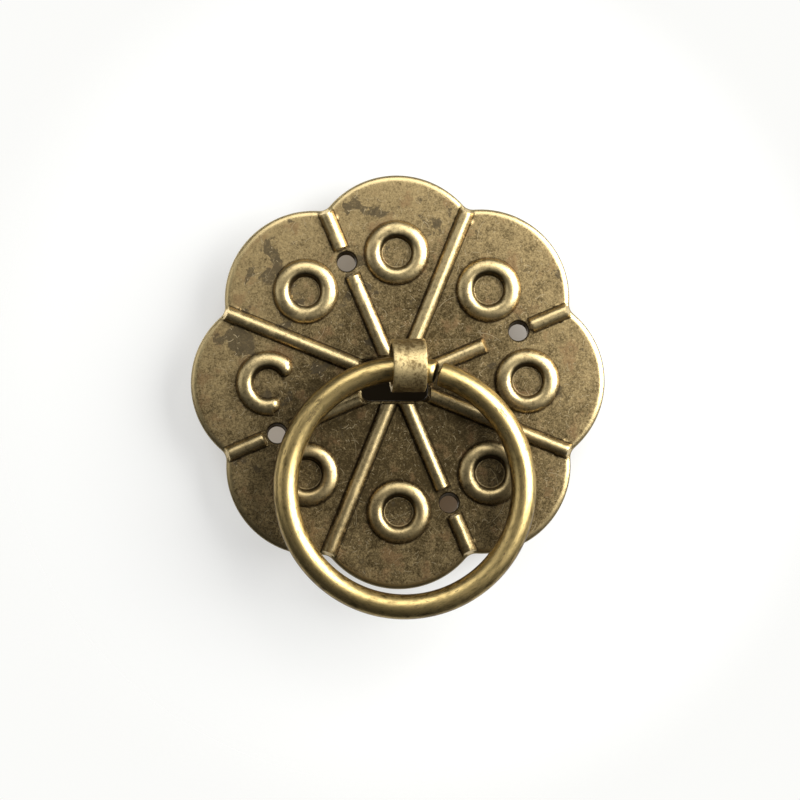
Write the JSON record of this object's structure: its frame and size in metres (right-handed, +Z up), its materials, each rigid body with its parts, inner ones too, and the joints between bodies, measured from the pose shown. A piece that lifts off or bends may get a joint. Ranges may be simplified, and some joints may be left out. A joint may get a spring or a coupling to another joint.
{
  "type": "ring pull handle",
  "caption": "Ring pull for a drawer or cabinet: flower-shaped pressed plate with ribs and ring bosses, nail holes, and a wire ring hanging from a folded strip pin.",
  "frame": {"origin": "centre of the plate's flower outline, on its flat back face, which lies against the drawer front", "axes": "+Z up as it hangs in use, +Y back into the drawer front, -Y out towards the hand, +X to the right seen from the front"},
  "size_m": [0.04, 0.0206, 0.0426],
  "materials": {
    "plate_brass": "antique, dark patina with worn edges",
    "pin_brass": "antique, worn",
    "ring_brass": "antique, worn"
  },
  "bodies": {
    "plate": {"backplate": "plate_brass", "split_pin": "pin_brass"},
    "ring": {"ring": "ring_brass"}
  },
  "joints": [
    {"name": "ring_swing", "type": "hinge", "parent": "plate", "child": "ring", "pos_m": [0.001, -0.00383, 0.00158], "axis": [-1, 0, 0], "range_deg": [-6, 188]}
  ]
}
